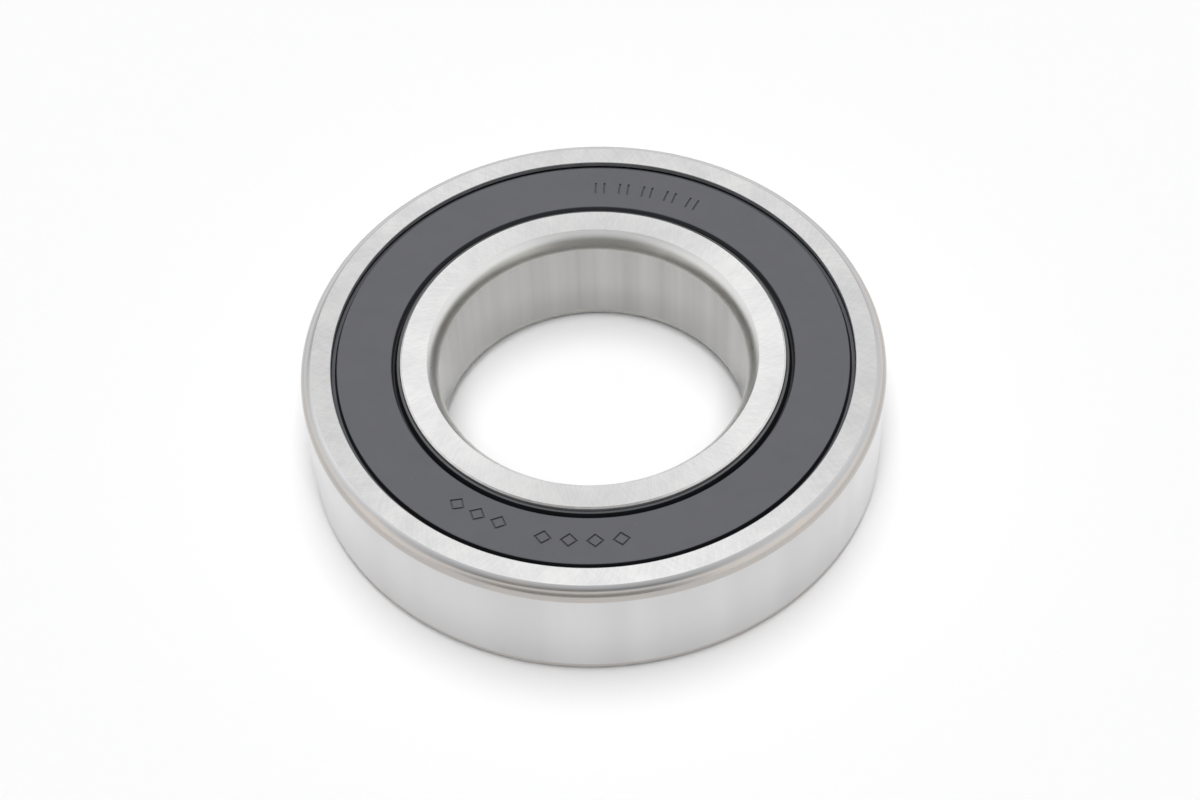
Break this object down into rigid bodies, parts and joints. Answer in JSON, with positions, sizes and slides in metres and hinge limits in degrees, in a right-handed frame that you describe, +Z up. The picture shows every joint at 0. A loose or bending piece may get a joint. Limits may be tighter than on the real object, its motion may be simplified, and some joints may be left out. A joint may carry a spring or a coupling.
{
  "type": "sealed deep-groove ball bearing",
  "caption": "Sealed deep-groove ball bearing: a ground steel inner ring turns on caged balls inside an outer ring, with a flat dark rubber seal on each side.",
  "frame": {"origin": "centre of the lower side face, on the bearing's axis", "axes": "+Z up along the bearing's axis, from the lower side face to the upper one; +X from the axis through the centre of ball_1 at rest"},
  "size_m": [0.085, 0.085, 0.019],
  "materials": {
    "ring_steel": "bearing steel, fine ground and bare",
    "ball_steel": "bearing steel, lapped to a mirror",
    "cage_steel": "pressed steel strip, satin",
    "rivet_steel": "mild steel, headed by pressing",
    "insert_steel": "pressed steel strip, dull",
    "seal_rubber": "moulded nitrile rubber, matte face and glossy lips"
  },
  "bodies": {
    "outer_assembly": {"outer_ring": "ring_steel", "upper_seal_rubber": "seal_rubber", "upper_seal_insert": "insert_steel", "lower_seal_rubber": "seal_rubber", "lower_seal_insert": "insert_steel"},
    "inner_race": {"inner_ring": "ring_steel"},
    "cage": {"upper_cage_half": "cage_steel", "lower_cage_half": "cage_steel", "cage_rivet_1": "rivet_steel", "cage_rivet_2": "rivet_steel", "cage_rivet_3": "rivet_steel", "cage_rivet_4": "rivet_steel", "cage_rivet_5": "rivet_steel", "cage_rivet_6": "rivet_steel", "cage_rivet_7": "rivet_steel", "cage_rivet_8": "rivet_steel", "cage_rivet_9": "rivet_steel"},
    "ball_body_1": {"ball_1": "ball_steel"},
    "ball_body_2": {"ball_2": "ball_steel"},
    "ball_body_3": {"ball_3": "ball_steel"},
    "ball_body_4": {"ball_4": "ball_steel"},
    "ball_body_5": {"ball_5": "ball_steel"},
    "ball_body_6": {"ball_6": "ball_steel"},
    "ball_body_7": {"ball_7": "ball_steel"},
    "ball_body_8": {"ball_8": "ball_steel"},
    "ball_body_9": {"ball_9": "ball_steel"}
  },
  "joints": [
    {"name": "inner_ring_spin", "type": "hinge", "parent": "outer_assembly", "child": "inner_race", "pos_m": [0, 0, 0.0095], "axis": [0, 0, 1], "continuous": true},
    {"name": "cage_spin", "type": "hinge", "parent": "outer_assembly", "child": "cage", "pos_m": [0, 0, 0.0095], "axis": [0, 0, 1], "continuous": true},
    {"name": "ball_1_spin", "type": "hinge", "parent": "cage", "child": "ball_body_1", "pos_m": [0.0325, 0, 0.0095], "axis": [0, 0, 1], "continuous": true},
    {"name": "ball_2_spin", "type": "hinge", "parent": "cage", "child": "ball_body_2", "pos_m": [0.0249, 0.02089, 0.0095], "axis": [0, 0, 1], "continuous": true},
    {"name": "ball_3_spin", "type": "hinge", "parent": "cage", "child": "ball_body_3", "pos_m": [0.00564, 0.03201, 0.0095], "axis": [0, 0, 1], "continuous": true},
    {"name": "ball_4_spin", "type": "hinge", "parent": "cage", "child": "ball_body_4", "pos_m": [-0.01625, 0.02815, 0.0095], "axis": [0, 0, 1], "continuous": true},
    {"name": "ball_5_spin", "type": "hinge", "parent": "cage", "child": "ball_body_5", "pos_m": [-0.03054, 0.01112, 0.0095], "axis": [0, 0, 1], "continuous": true},
    {"name": "ball_6_spin", "type": "hinge", "parent": "cage", "child": "ball_body_6", "pos_m": [-0.03054, -0.01112, 0.0095], "axis": [0, 0, 1], "continuous": true},
    {"name": "ball_7_spin", "type": "hinge", "parent": "cage", "child": "ball_body_7", "pos_m": [-0.01625, -0.02815, 0.0095], "axis": [0, 0, 1], "continuous": true},
    {"name": "ball_8_spin", "type": "hinge", "parent": "cage", "child": "ball_body_8", "pos_m": [0.00564, -0.03201, 0.0095], "axis": [0, 0, 1], "continuous": true},
    {"name": "ball_9_spin", "type": "hinge", "parent": "cage", "child": "ball_body_9", "pos_m": [0.0249, -0.02089, 0.0095], "axis": [0, 0, 1], "continuous": true}
  ],
  "couplings": [
    {"joint": "cage_spin", "follows": "inner_ring_spin", "ratio": 0.40231},
    {"joint": "ball_1_spin", "follows": "inner_ring_spin", "ratio": -2.4614},
    {"joint": "ball_2_spin", "follows": "inner_ring_spin", "ratio": -2.4614},
    {"joint": "ball_3_spin", "follows": "inner_ring_spin", "ratio": -2.4614},
    {"joint": "ball_4_spin", "follows": "inner_ring_spin", "ratio": -2.4614},
    {"joint": "ball_5_spin", "follows": "inner_ring_spin", "ratio": -2.4614},
    {"joint": "ball_6_spin", "follows": "inner_ring_spin", "ratio": -2.4614},
    {"joint": "ball_7_spin", "follows": "inner_ring_spin", "ratio": -2.4614},
    {"joint": "ball_8_spin", "follows": "inner_ring_spin", "ratio": -2.4614},
    {"joint": "ball_9_spin", "follows": "inner_ring_spin", "ratio": -2.4614}
  ]
}
